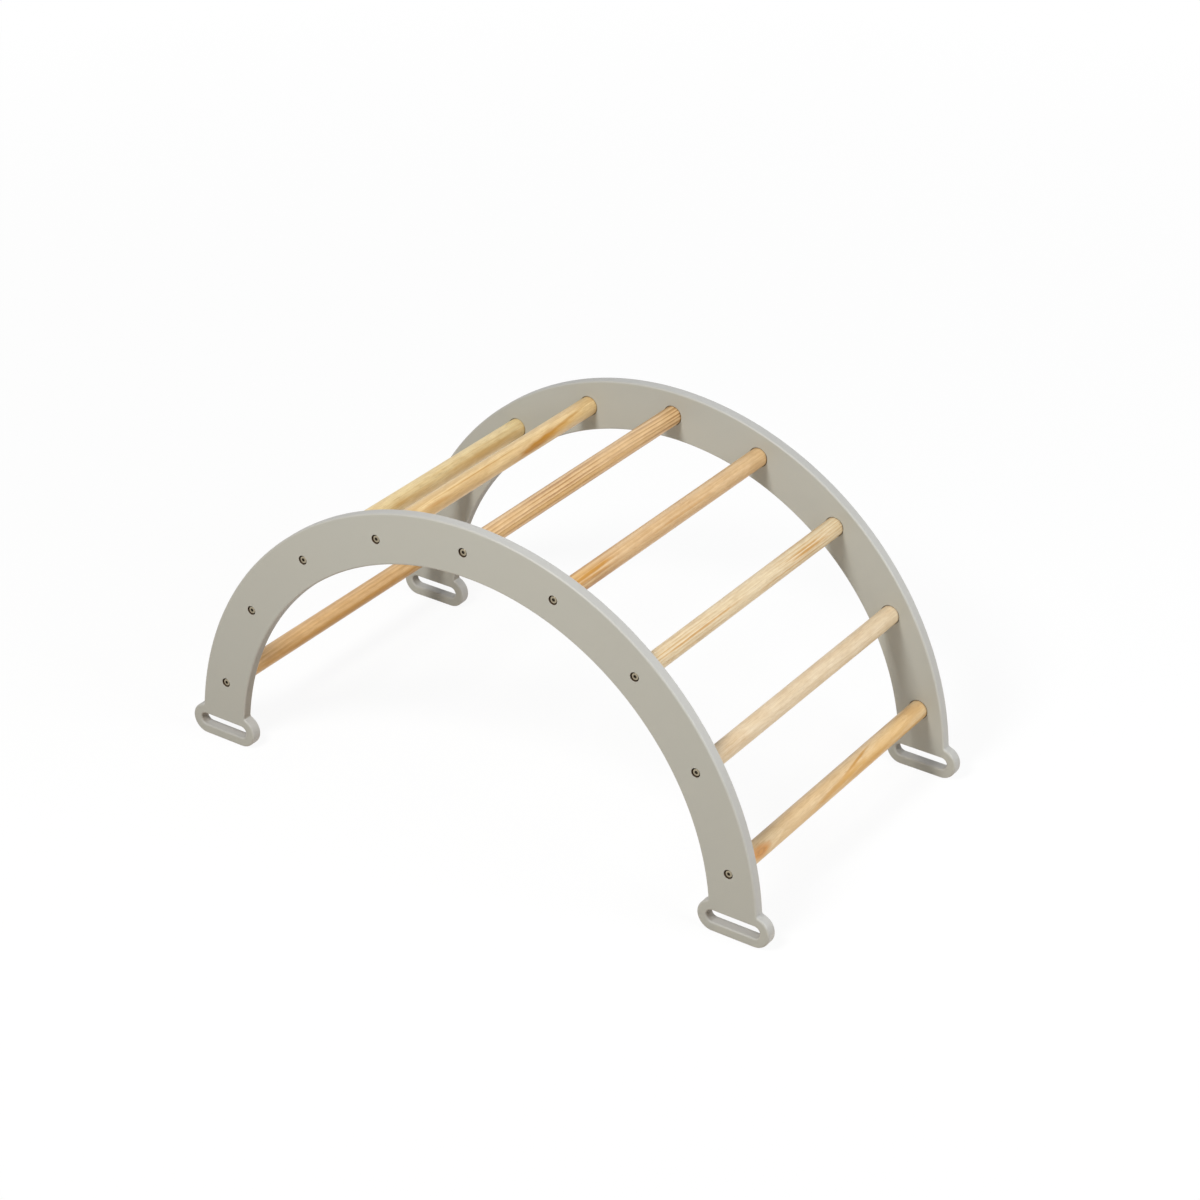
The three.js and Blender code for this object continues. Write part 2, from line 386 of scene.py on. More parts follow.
def skin_rings(bm, rings, levels=()):
    """Quads between rings, marked with levels by ring and by point. Returns both ends' edges."""
    rows = [[bm.verts.new(p) for p in ring] for ring in rings]
    for upper, lower in zip(rows, rows[1:]):
        for i in range(len(upper)):
            j = (i + 1) % len(upper)
            bm.faces.new((upper[i], upper[j], lower[j], lower[i]))
    for layer, ring_levels, point_levels in levels:
        for row, ring_level in zip(rows, ring_levels):
            for vert, point_level in zip(row, point_levels):
                vert[layer] = ring_level * point_level
    ends = []
    for row in (rows[0], rows[-1]):
        ends.append([bm.edges.get((row[i], row[(i + 1) % len(row)])) for i in range(len(row))])
    return ends


def finish_mesh(bm, name):
    """Turns the skin's faces outwards and shades it smooth but for its sharp edges."""
    bmesh.ops.recalc_face_normals(bm, faces=bm.faces)
    mesh = bpy.data.meshes.new(name)
    bm.to_mesh(mesh)
    bm.free()
    mesh.shade_smooth()
    mesh.set_sharp_from_angle(angle=SHARP_ANGLE)
    return mesh


def add_piece(name, mesh, material):
    """Puts a piece over the solid that it stands for, riding on the one rigid body."""
    piece = bpy.data.objects.new(f"{name}_look", mesh)
    if not mesh.materials:
        mesh.materials.append(material)
    scene.collection.objects.link(piece)
    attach(piece, "root")
    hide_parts(name)
    return piece


def panel_mesh(name, outer_y, inward):
    low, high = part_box(name)
    thickness = high.y - low.y
    rung_low, rung_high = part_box("rung_1")
    rung_radius = (rung_high.x - rung_low.x) / 2
    bm = bmesh.new()
    rim = bm.verts.layers.float.new("rim")
    hollow_shade = bm.verts.layers.float.new("hollow_shade")
    drilled = bm.verts.layers.float.new("drilled")
    rounding = [i / EDGE_STEPS for i in range(EDGE_STEPS + 1)]
    rounding += rounding[::-1]
    ends = []
    for outline in (whole_outline(), slot_outline(-ARCH_RADIUS), slot_outline(ARCH_RADIUS)):
        rings = rounded_edge_rings(outline, thickness)
        levels = [(rim, rounding, [1] * len(outline)), (hollow_shade, rounding, hollow_shade_levels(outline))]
        ends.append(skin_rings(bm, rings, levels))
    for number in RUNG_NUMBERS:
        rings = rung_seat_rings(rung_centre(number), rung_radius, thickness)
        # The drilled walls take unpainted board colour, darkened as painted shade inside the holes; their
        # edge rings stay painted.
        bare_and_shaded = [0] + [1] * (len(rings) - 2) + [0]
        ends.append(skin_rings(bm, rings, [(drilled, bare_and_shaded, [1] * HOLE_STEPS)]))
    for side in (0, 1):
        rims = [edge for end in ends for edge in end[side]]
        bmesh.ops.triangle_fill(bm, use_beauty=True, edges=rims, normal=(0, 1, 0))
    for vert in bm.verts:
        vert.co.y = outer_y + inward * vert.co.y
    return finish_mesh(bm, name)


def even_noise(tree, place, per_metre, detail):
    """Noise of the same grain in all directions."""
    inputs = {"Vector": place, "Scale": per_metre, "Detail": detail}
    return add_node(tree, "ShaderNodeTexNoise", inputs).outputs["Fac"]


def marked(tree, attribute_name):
    """How far the panel's mesh marks a place as rim, as inner rim or slot end that takes painted shade,
    or as drilled.
    """
    return add_node(tree, "ShaderNodeAttribute", attribute_name=attribute_name).outputs["Fac"]


def bumped(tree, height, distance):
    inputs = {"Height": height, "Strength": 1.0, "Distance": distance}
    return add_node(tree, "ShaderNodeBump", inputs).outputs[0]


def finish_material(material, inputs):
    """Ends a material in one surface shader."""
    tree = material.node_tree
    surface = add_node(tree, "ShaderNodeBsdfPrincipled", inputs)
    add_node(tree, "ShaderNodeOutputMaterial", {"Surface": surface.outputs[0]})
    return material


def panel_paint():
    """Satin paint, cloudy, duller on rims, with painted shade on the inner rim and slot ends, lightened
    on roundings by wear and a painted highlight, and unpainted board darkened by painted shade where
    drilled.
    """
    material = new_material("panel_paint")
    tree = material.node_tree
    place = own_place(tree)
    clouds = even_noise(tree, place, CLOUD_PER_METRE, CLOUD_DETAIL)
    color = blended(tree, clouds, PAINT_COLOR, PAINT_COOL_COLOR)
    rim = marked(tree, "rim")
    # The arch's inner rim and the slot ends take a much darker colour: painted shade, where little light
    # gets in.
    rim_or_hollow_shade_color = blended(tree, marked(tree, "hollow_shade"), PAINT_RIM_COLOR, HOLLOW_SHADE_COLOR)
    color = blended(tree, rim, color, rim_or_hollow_shade_color)
    # This product is a quarter halfway round the edge, where the paint is lightened most: partly wear,
    # partly a painted highlight along the rounding.
    halfway = maths(tree, "MULTIPLY", rim, maths(tree, "SUBTRACT", 1.0, rim))
    color = blended(tree, maths(tree, "MULTIPLY", halfway, 4 * EDGE_WEAR_AND_HIGHLIGHT), color, WORN_AND_HIGHLIGHT_COLOR)
    # Drilled walls show unpainted board, made darker still as painted shade in the holes and round the
    # rung ends.
    color = blended(tree, marked(tree, "drilled"), color, BARE_BOARD_AND_SHADE_COLOR)
    strokes = even_noise(tree, place, BRUSH_PER_METRE, BRUSH_DETAIL)
    stipple = even_noise(tree, place, STIPPLE_PER_METRE, STIPPLE_DETAIL)
    return finish_material(
        material,
        {
            "Base Color": color,
            "Roughness": spread(tree, strokes, 0.0, 1.0, *PAINT_ROUGHNESS),
            "Normal": bumped(tree, stipple, STIPPLE_HEIGHT),
        },
    )


paint = panel_paint()
outer_faces = {
    "side_panel_front": (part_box("side_panel_front")[0].y, 1),
    "side_panel_back": (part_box("side_panel_back")[1].y, -1),
}
for name, (outer_y, inward) in outer_faces.items():
    panel = add_piece(name, panel_mesh(name, outer_y, inward), paint)
    panel.modifiers.new("flat_faces", "WEIGHTED_NORMAL").keep_sharp = True


# The rungs. Each is a 30 mm pine dowel, turned and sanded round, with a small bevel at both ends and
# a clear satin varnish. A bore in each end takes the insert, and the end sits in the panel's socket.
RUNG_BEVEL = 0.001
RUNG_SIDES = 64
RUNG_STATIONS = 40
RUNG_UNEVENNESS = 0.00012
UNEVEN_PER_METRE = 14
UNEVEN_STEP = 3.7
BORE_RADIUS = 0.0053
BORE_LENGTH = 0.0262
BORE_POINT = 0.0022
BORE_BEVEL = 0.0003
RESIN_COLOR = (0.50, 0.222, 0.015, 1)
HONEY_COLOR = (0.70, 0.390, 0.085, 1)
KNOT_COLOR = (0.62, 0.275, 0.060, 1)
KNOT_RING_COLOR = (0.34, 0.125, 0.028, 1)
CANAL_COLOR = (0.34, 0.150, 0.045, 1)
STAIN_FADE = {"streak": (0.45, 1.05), "honey": (0.20, 1.25), "knot": (0.50, 1.05)}
STAIN_FROM_AXIS = 0.0148
STAIN_EDGE = dict(per_metre=300, stretch=0.15, detail=3)
STAIN_UNEVENNESS = 0.7
KNOT_RINGS = 3.2
KNOT_RING_FROM = 0.55
KNOT_RING_SHARE = 0.42
KNOT_FLOW = (0.6, 2.6)
KNOT_FLOW_YEARS = 1.2
TREE_STEP = (0.31, 0.17, 0.23)
WAVES = dict(per_metre=6, stretch=0.7, detail=1)
WAVE_REACH = 0.0040
RIPPLES = dict(per_metre=38, stretch=0.5, detail=1)
RIPPLE_REACH = 0.0011
RING_JITTER = 0.8
JITTER_PER_METRE = 110
JITTER_STEP = 0.37
SUMMER_SHARES = ((0, 0.3), (0.07, 0.0), (0.42, 0.05), (0.62, 0.5), (0.80, 1.0), (1, 0.95))
PATCHES = dict(per_metre=20, stretch=0.35, detail=2)
PATCH_RANGE = (0.35, 0.62)
PATCH_LEAST = 0.60
MOTTLE = dict(per_metre=75, stretch=0.35, detail=3)
MOTTLE_RANGE = (0.36, 0.64)
MOTTLE_TINT = (0.86, 0.79, 0.69, 1)
MOTTLE_SHARE = 0.50
FLECKS = dict(per_metre=380, stretch=0.16, detail=2)
FLECK_RANGE = (0.36, 0.58)
FLECK_TINT = (0.76, 0.68, 0.56, 1)
FLECK_SHARE = 0.24
FIBRES = dict(per_metre=1000, stretch=0.022, detail=3)
FIBRE_RANGE = (0.32, 0.60)
FIBRE_TINT = (0.62, 0.52, 0.42, 1)
FIBRE_SHARE = 0.30
FIBRE_GLOSS_RANGE = (0.3, 0.7)
FIBRE_RELIEF = 0.5
CANALS = dict(per_metre=2300, stretch=0.035, detail=1)
CANAL_RANGE = (0.63, 0.72)
CANAL_SHARE = 0.30
RAISED_GRAIN = 0.00005
VARNISH_ROUGHNESS = (0.36, 0.54)
VARNISH_SPECULAR = 0.36
VARNISH_COAT = 0.20
VARNISH_COAT_ROUGHNESS = 0.30


def stain(kind, strength, **spot):
    """A streak of resin, a honey patch or a knot, with its strength from 0 to 1 and its spot."""
    return kind, strength, spot


# Every rung is cut from another tree. For each: where the tree's heart lay from the rung's axis, how
# far the grain leans and bows along it, how wide a year's growth is, how boldly the years show from
# the front end to the back end, the colours of spring and summer wood, and the stains.
RUNG_WOODS = {
    1: dict(heart=(0.030, -0.004), lean=(0.010, -0.012), bow=0.10, year=0.0070,
            show=((0, 0.40), (0.3, 0.30), (0.6, 0.40), (1, 0.4)),
            spring=(0.790, 0.525, 0.254), summer=(0.510, 0.255, 0.071),
            stains=(
                stain("streak", 0.70, along=0.0, angle=0.00, width=0.0062, length=0.30),
                stain("streak", 0.40, along=-0.16, angle=0.45, width=0.0030, length=0.06, slant=1.0),
                stain("honey", 0.25, along=0.020, angle=0.10, width=0.0080, length=0.26),
            )),
    2: dict(heart=(0.035, 0.030), lean=(-0.006, 0.020), bow=-0.04, year=0.0056,
            show=((0, 0.6), (0.5, 0.35), (1, 0.6)),
            spring=(0.812, 0.572, 0.293), summer=(0.575, 0.315, 0.110),
            stains=(
                stain("knot", 0.8, along=0.09, angle=2.1, width=0.0040, length=0.0060),
            )),
    3: dict(heart=(0.052, -0.044), lean=(0.012, -0.010), bow=0.10, year=0.0085,
            show=((0, 0.6), (0.45, 0.25), (0.65, 0.30), (0.95, 0.40), (1, 0.4)),
            spring=(0.985, 0.800, 0.443), summer=(0.845, 0.575, 0.221),
            stains=(
                stain("honey", 0.60, along=0.150, angle=0.26, width=0.0072, length=0.100),
                stain("honey", 0.40, along=-0.020, angle=0.20, width=0.0064, length=0.040),
                stain("honey", 0.55, along=-0.062, angle=0.42, width=0.0050, length=0.026),
            )),
    4: dict(heart=(-0.030, -0.012), lean=(-0.012, 0.024), bow=-0.12, year=0.0072,
            show=((0, 0.7), (0.3, 0.5), (0.6, 0.35), (1, 0.45)),
            spring=(0.837, 0.632, 0.335), summer=(0.582, 0.341, 0.110),
            stains=(
                stain("streak", 1.00, along=0.110, angle=0.18, width=0.0084, length=0.070, slant=5.6),
                stain("honey", 0.55, along=0.168, angle=0.32, width=0.0060, length=0.055, slant=4.0),
                stain("streak", 0.62, along=0.180, angle=0.69, width=0.0026, length=0.058, slant=4.8),
                stain("streak", 0.60, along=-0.050, angle=1.00, width=0.0013, length=0.130),
                stain("streak", 0.38, along=-0.150, angle=0.55, width=0.0034, length=0.040, slant=-2.5),
            )),
    5: dict(heart=(0.052, -0.050), lean=(0.003, 0.004), bow=0.03, year=0.0050,
            show=((0, 0.95), (0.55, 0.95), (0.64, 0.45), (0.72, 0.50), (0.82, 1.0), (1, 1.0)),
            spring=(0.800, 0.556, 0.294), summer=(0.420, 0.206, 0.055),
            stains=(
                stain("honey", 0.36, along=-0.060, angle=0.05, width=0.0066, length=0.22),
            )),
    6: dict(heart=(-0.036, 0.044), lean=(0.004, 0.006), bow=0.05, year=0.0066,
            show=((0, 0.75), (0.17, 0.70), (0.28, 0.25), (0.6, 0.20), (1, 0.22)),
            spring=(0.747, 0.519, 0.276), summer=(0.455, 0.196, 0.041),
            stains=(
                stain("streak", 0.38, along=0.035, angle=0.55, width=0.0024, length=0.10, slant=0.3),
                stain("streak", 0.85, along=-0.200, angle=0.90, width=0.0038, length=0.070, slant=1.4),
                stain("streak", 0.70, along=-0.205, angle=0.52, width=0.0022, length=0.064, slant=-0.8),
                stain("honey", 0.50, along=-0.220, angle=1.45, width=0.0070, length=0.055),
            )),
    7: dict(heart=(0.060, -0.052), lean=(-0.004, 0.006), bow=-0.02, year=0.0046,
            show=((0, 0.60), (0.3, 0.45), (0.6, 0.25), (0.72, 0.75), (0.88, 0.75), (1, 0.45)),
            spring=(0.824, 0.690, 0.470), summer=(0.639, 0.398, 0.159),
            stains=(
                stain("streak", 0.85, along=0.165, angle=0.57, width=0.0022, length=0.060, slant=-0.3),
                stain("streak", 0.75, along=0.155, angle=0.90, width=0.0017, length=0.060),
                stain("streak", 0.72, along=-0.130, angle=0.66, width=0.0018, length=0.130),
                stain("streak", 0.45, along=-0.180, angle=1.02, width=0.0013, length=0.080),
                stain("streak", 0.45, along=0.100, angle=0.12, width=0.0014, length=0.120),
            )),
    8: dict(heart=(0.030, -0.026), lean=(0.010, 0.012), bow=0.03, year=0.0068,
            show=((0, 0.26), (0.5, 0.16), (1, 0.28)),
            spring=(0.802, 0.662, 0.467), summer=(0.660, 0.452, 0.245),
            stains=(
                stain("streak", 0.12, along=-0.200, angle=0.60, width=0.0120, length=0.050),
            )),
    9: dict(heart=(-0.016, -0.040), lean=(-0.020, -0.010), bow=-0.10, year=0.0090,
            show=((0, 0.3), (0.45, 0.35), (0.6, 0.55), (0.8, 0.5), (1, 0.5)),
            spring=(0.827, 0.628, 0.374), summer=(0.594, 0.360, 0.140),
            stains=(
                stain("knot", 0.90, along=-0.212, angle=0.50, width=0.0115, length=0.0290),
                stain("streak", 0.58, along=0.000, angle=0.42, width=0.0056, length=0.090, slant=3.7),
                stain("streak", 0.62, along=0.085, angle=0.10, width=0.0072, length=0.070),
                stain("streak", 0.80, along=0.062, angle=1.10, width=0.0026, length=0.058, slant=9.0),
                stain("honey", 0.50, along=0.030, angle=0.50, width=0.0060, length=0.055, slant=2.0),
                stain("honey", 0.45, along=0.105, angle=0.50, width=0.0100, length=0.070),
                stain("honey", 0.34, along=0.030, angle=-0.05, width=0.0060, length=0.24),
                stain("honey", 0.40, along=0.185, angle=0.80, width=0.0150, length=0.070),
                stain("streak", 0.40, along=0.200, angle=-0.30, width=0.0050, length=0.090),
            )),
}


def rung_rings(radius, length):
    """Rings from the point of one bore, out round the wood and into the other bore."""
    half = length / 2
    end = [
        (BORE_RADIUS, half - BORE_LENGTH),
        (BORE_RADIUS, half - BORE_BEVEL),
        (BORE_RADIUS + BORE_BEVEL, half),
        (radius - RUNG_BEVEL, half),
    ]
    body = half - RUNG_BEVEL
    stations = [body - 2 * body * i / RUNG_STATIONS for i in range(RUNG_STATIONS + 1)]
    profile = end + [(radius, y) for y in stations] + [(r, -y) for r, y in reversed(end)]
    return [[turned_point(r, y, i) for i in range(RUNG_SIDES)] for r, y in profile]


def turned_point(radius, y, side):
    angle = 2 * math.pi * side / RUNG_SIDES
    return Vector((radius * math.cos(angle), y, radius * math.sin(angle)))


def close_end(bm, rim, tip):
    """A cone or flat disc from a rim of edges to one point."""
    point = bm.verts.new(tip)
    for edge in rim:
        bm.faces.new((edge.verts[0], edge.verts[1], point))


def rung_mesh(number):
    low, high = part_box(f"rung_{number}")
    radius = (high.x - low.x) / 2
    length = high.y - low.y
    bm = bmesh.new()
    near, far = skin_rings(bm, rung_rings(radius, length))
    seed = Vector((0, 0, UNEVEN_STEP * number))
    for vert in bm.verts:
        across = Vector((vert.co.x, 0, vert.co.z))
        if across.length > radius - RUNG_BEVEL / 2:
            dip = 0.5 + 0.5 * noise.noise(UNEVEN_PER_METRE * vert.co + seed)
            vert.co -= across.normalized() * RUNG_UNEVENNESS * min(max(dip, 0), 1)
    tip = length / 2 - BORE_LENGTH - BORE_POINT
    close_end(bm, near, (0, tip, 0))
    close_end(bm, far, (0, -tip, 0))
    return finish_mesh(bm, f"rung_{number}")


def vector_maths(tree, operation, first, second):
    return add_node(tree, "ShaderNodeVectorMath", {0: first, 1: second}, operation=operation).outputs[0]


def scaled(tree, vector, scale):
    return vector_maths(tree, "MULTIPLY", vector, scale)


def axes_of(tree, vector):
    return add_node(tree, "ShaderNodeSeparateXYZ", {0: vector}).outputs


def graded(tree, value, stops):
    """A smooth grade through pairs of position and grey."""
    ramp = add_node(tree, "ShaderNodeValToRGB", {0: value})
    grades = ramp.color_ramp.elements
    for grade, (position, grey) in zip(grades, (stops[0], stops[-1])):
        grade.position = position
        grade.color = (grey, grey, grey, 1)
    for position, grey in stops[1:-1]:
        grades.new(position).color = (grey, grey, grey, 1)
    return ramp.outputs[0]


def drawn_noise(tree, place, per_metre, stretch, detail, output="Fac"):
    """Noise drawn out along the rung."""
    drawn = scaled(tree, place, (per_metre, per_metre * stretch, per_metre))
    inputs = {"Vector": drawn, "Scale": 1.0, "Detail": detail}
    return add_node(tree, "ShaderNodeTexNoise", inputs).outputs[output]


def line_noise(tree, position, per_metre):
    """Noise that changes with one distance alone."""
    inputs = {"W": position, "Scale": per_metre, "Detail": 1.0}
    return add_node(tree, "ShaderNodeTexNoise", inputs, noise_dimensions="1D").outputs["Fac"]


def wandered(tree, place, own):
    """The grain strays a little from straight, in long waves and short ripples."""
    middle = (0.5, 0.5, 0.5)
    waves = drawn_noise(tree, place, output="Color", **WAVES)
    waves = scaled(tree, vector_maths(tree, "SUBTRACT", waves, middle), (WAVE_REACH,) * 3)
    ripples = drawn_noise(tree, place, output="Color", **RIPPLES)
    ripples = scaled(tree, vector_maths(tree, "SUBTRACT", ripples, middle), (RIPPLE_REACH,) * 3)
    return vector_maths(tree, "ADD", own, vector_maths(tree, "ADD", waves, ripples))


def depth_from_heart(tree, grain, wood):
    """How far a place in the rung lay from the middle of its tree."""
    x, y, z = axes_of(tree, grain)
    heart_x, heart_z = wood["heart"]
    lean_x, lean_z = wood["lean"]
    bowed = maths(tree, "MULTIPLY", maths(tree, "MULTIPLY", y, y), wood["bow"])
    off_x = maths(tree, "MULTIPLY_ADD", y, lean_x, maths(tree, "SUBTRACT", x, heart_x))
    off_z = maths(tree, "MULTIPLY_ADD", y, lean_z, maths(tree, "SUBTRACT", z, heart_z))
    off_z = maths(tree, "ADD", off_z, bowed)
    return length_of(tree, add_node(tree, "ShaderNodeCombineXYZ", {0: off_x, 2: off_z}).outputs[0])


def distance_from_stain(tree, own, place, along, angle, width, length, slant=0):
    """Zero in the middle of a stain and about one at its rim, with an uneven outline.

    The slant is how far the stain turns round the rung, in radians, with each metre along it.
    """
    middle = (STAIN_FROM_AXIS * math.cos(angle), along, STAIN_FROM_AXIS * math.sin(angle))
    sideways = (-slant * STAIN_FROM_AXIS * math.sin(angle), 0, slant * STAIN_FROM_AXIS * math.cos(angle))
    away = vector_maths(tree, "SUBTRACT", own, middle)
    past = axes_of(tree, away)[1]
    away = vector_maths(tree, "SUBTRACT", away, vector_maths(tree, "MULTIPLY", past, sideways))
    distance = length_of(tree, scaled(tree, away, (1 / width, 1 / length, 1 / width)))
    rough = drawn_noise(tree, place, **STAIN_EDGE)
    uneven = maths(tree, "MULTIPLY_ADD", rough, STAIN_UNEVENNESS, -STAIN_UNEVENNESS / 2)
    return maths(tree, "ADD", distance, uneven)


def summer_wood(tree, number, wood, own, place, stains):
    """Pale spring wood darkens into summer wood and stops short at the winter, year after year.

    Where there is a knot, the years flow round it.
    """
    depth = depth_from_heart(tree, wandered(tree, place, own), wood)
    jitter = line_noise(tree, maths(tree, "ADD", depth, JITTER_STEP * number), JITTER_PER_METRE)
    years = maths(tree, "MULTIPLY_ADD", jitter, RING_JITTER, maths(tree, "DIVIDE", depth, wood["year"]))
    for kind, strength, distance in stains:
        if kind == "knot":
            flow = spread(tree, distance, *KNOT_FLOW, KNOT_FLOW_YEARS, 0.0)
            years = maths(tree, "ADD", years, flow)
    return graded(tree, maths(tree, "FRACT", years), SUMMER_SHARES)


def darkened(tree, color, pattern, pattern_range, tint, share):
    """Tints the color where a pattern runs low."""
    tinted = blended(tree, spread(tree, pattern, *pattern_range, 0.0, 1.0), tint, WHITE)
    return blended(tree, share, color, tinted, "MULTIPLY")


def stained(tree, color, kind, strength, distance):
    """The wood's color with one stain over it. A knot has rings of its own."""
    stain_color = {"streak": RESIN_COLOR, "honey": HONEY_COLOR, "knot": KNOT_COLOR}[kind]
    if kind == "knot":
        ring = maths(tree, "PINGPONG", maths(tree, "MULTIPLY", distance, KNOT_RINGS), 1.0)
        ring_share = spread(tree, ring, KNOT_RING_FROM, 1.0, 0.0, KNOT_RING_SHARE)
        stain_color = blended(tree, ring_share, stain_color, KNOT_RING_COLOR)
    return blended(tree, spread(tree, distance, *STAIN_FADE[kind], strength, 0.0), color, stain_color)


def varnished_pine(number, wood):
    """Years of growth under mottling, flecks, fibres, the short lines of resin canals, and stains."""
    material = new_material(f"rung_wood_{number}")
    tree = material.node_tree
    own = own_place(tree)
    # Every rung takes its noise from another place, so that no two are alike.
    place = vector_maths(tree, "ADD", own, tuple(step * number for step in TREE_STEP))
    stains = []
    for kind, strength, spot in wood["stains"]:
        stains.append((kind, strength, distance_from_stain(tree, own, place, **spot)))

    late = summer_wood(tree, number, wood, own, place, stains)
    low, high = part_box(f"rung_{number}")
    show = graded(tree, spread(tree, axes_of(tree, own)[1], low.y, high.y, 0.0, 1.0), wood["show"])
    patch = spread(tree, drawn_noise(tree, place, **PATCHES), *PATCH_RANGE, PATCH_LEAST, 1.0)
    summer_share = maths(tree, "MULTIPLY", late, maths(tree, "MULTIPLY", show, patch))
    color = blended(tree, summer_share, (*wood["spring"], 1), (*wood["summer"], 1))

    mottle = drawn_noise(tree, place, **MOTTLE)
    color = darkened(tree, color, mottle, MOTTLE_RANGE, MOTTLE_TINT, MOTTLE_SHARE)
    flecks = drawn_noise(tree, place, **FLECKS)
    color = darkened(tree, color, flecks, FLECK_RANGE, FLECK_TINT, FLECK_SHARE)
    fibres = drawn_noise(tree, place, **FIBRES)
    color = darkened(tree, color, fibres, FIBRE_RANGE, FIBRE_TINT, FIBRE_SHARE)
    canals = spread(tree, drawn_noise(tree, place, **CANALS), *CANAL_RANGE, 0.0, 1.0)
    color = blended(tree, maths(tree, "MULTIPLY", canals, CANAL_SHARE), color, CANAL_COLOR)
    for kind, strength, distance in stains:
        color = stained(tree, color, kind, strength, distance)

    relief = maths(tree, "MULTIPLY_ADD", fibres, FIBRE_RELIEF, maths(tree, "MULTIPLY", late, show))
    return finish_material(
        material,
        {
            "Base Color": color,
            "Roughness": spread(tree, fibres, *FIBRE_GLOSS_RANGE, *VARNISH_ROUGHNESS),
            "Normal": bumped(tree, relief, RAISED_GRAIN),
            "Specular IOR Level": VARNISH_SPECULAR,
            "Coat Weight": VARNISH_COAT,
            "Coat Roughness": VARNISH_COAT_ROUGHNESS,
        },
    )


for number in RUNG_NUMBERS:
    rung = add_piece(
        f"rung_{number}", rung_mesh(number), varnished_pine(number, RUNG_WOODS[number])
    )
    centre = rung_centre(number)
    rung.location = (centre.x, 0, centre.y)


# The bolts. Each is a bronze-plated M6 socket bolt with a low round head, sunk in its counterbore and
# driven by a 4 mm hexagon key, through the panel and into the insert in the rung's end.
BOLT_HEAD_RADIUS = 0.0055
BOLT_HEAD_HEIGHT = 0.004
BOLT_HEAD_ROUND = 0.0007
HEAD_ROUND_STEPS = 5
BOLT_LENGTH = 0.030
BOLT_RADIUS = 0.003
BOLT_FILLET = 0.0003
BOLT_TIP_BEVEL = 0.0008
HEXAGON_WIDTH = 0.004
HEXAGON_DEPTH = 0.002
HEXAGON_BEVEL = 0.00025
HEXAGON_POINT = 0.0006
PLAIN_SHANK = 0.0035
THREAD_PITCH = 0.001
THREAD_DEPTH = 0.0006
ROWS_PER_TURN = 8
BOLT_SIDES = 48
BRONZE_COLOR = (0.30, 0.255, 0.175, 1)
BRONZE_WORN_COLOR = (0.46, 0.40, 0.29, 1)
SOCKET_SHADE_COLOR = (0.035, 0.025, 0.018, 1)
SOCKET_SHADE_REACH = (0.0024, 0.0030)
SOCKET_SHADE_SHARE = 0.85
BRONZE_ROUGHNESS = (0.30, 0.50)
PLATING_CLOUD_PER_METRE = 420
PLATING_CLOUD_DETAIL = 3
TURNING_PER_METRE = 5200
TURNING_HEIGHT = 0.00001


def hexagon_ring(across_flats, y):
    """As many points as the round rings have, drawn in to the six flats."""
    sixth = math.pi / 3
    ring = []
    for i in range(BOLT_SIDES):
        angle = 2 * math.pi * i / BOLT_SIDES
        off_flat = (angle % sixth) - sixth / 2
        radius = across_flats / 2 / math.cos(off_flat)
        ring.append(Vector((radius * math.cos(angle), y, radius * math.sin(angle))))
    return ring


def round_ring(radius, y):
    angles = [2 * math.pi * i / BOLT_SIDES for i in range(BOLT_SIDES)]
    return [Vector((radius * math.cos(a), y, radius * math.sin(a))) for a in angles]


def thread_rings(start, end, root, crest, pitch):
    """Level rings whose radius follows a V thread, which runs out at both ends."""
    rings = []
    rows = round((end - start) / pitch * ROWS_PER_TURN)
    for row in range(rows + 1):
        y = start + (end - start) * row / rows
        runout = min(1, (y - start) / pitch, (end - y) / pitch)
        ring = []
        for i in range(BOLT_SIDES):
            turn = i / BOLT_SIDES
            across = abs(2 * ((y / pitch - turn) % 1) - 1)
            radius = root + (crest - root) * (across * runout)
            angle = 2 * math.pi * turn
            ring.append(Vector((radius * math.cos(angle), y, radius * math.sin(angle))))
        rings.append(ring)
    return rings


def bolt_mesh():
    """From the point of the key's socket, over the head and down the thread to the tip."""
    top = -BOLT_HEAD_HEIGHT
    corner = HEXAGON_WIDTH / 2 / math.cos(math.pi / 6) + HEXAGON_BEVEL / 2
    rings = [
        hexagon_ring(HEXAGON_WIDTH, top + HEXAGON_DEPTH),
        hexagon_ring(HEXAGON_WIDTH, top + HEXAGON_BEVEL),
        round_ring(corner, top),
    ]
    for i in range(HEAD_ROUND_STEPS + 1):
        turn = math.pi / 2 * i / HEAD_ROUND_STEPS
        inset = BOLT_HEAD_ROUND * (1 - math.sin(turn))
        rings.append(round_ring(BOLT_HEAD_RADIUS - inset, top + BOLT_HEAD_ROUND * (1 - math.cos(turn))))
    rings += [
        round_ring(BOLT_HEAD_RADIUS, 0),
        round_ring(BOLT_RADIUS + BOLT_FILLET, 0),
        round_ring(BOLT_RADIUS, BOLT_FILLET),
    ]
    thread_end = BOLT_LENGTH - BOLT_TIP_BEVEL
    root = BOLT_RADIUS - THREAD_DEPTH
    rings += thread_rings(PLAIN_SHANK, thread_end, root, BOLT_RADIUS, THREAD_PITCH)
    rings.append(round_ring(BOLT_RADIUS - BOLT_TIP_BEVEL, BOLT_LENGTH))
    bm = bmesh.new()
    socket_floor, tip = skin_rings(bm, rings)
    close_end(bm, socket_floor, (0, top + HEXAGON_DEPTH + HEXAGON_POINT, 0))
    close_end(bm, tip, (0, BOLT_LENGTH, 0))
    return finish_mesh(bm, "bolt")


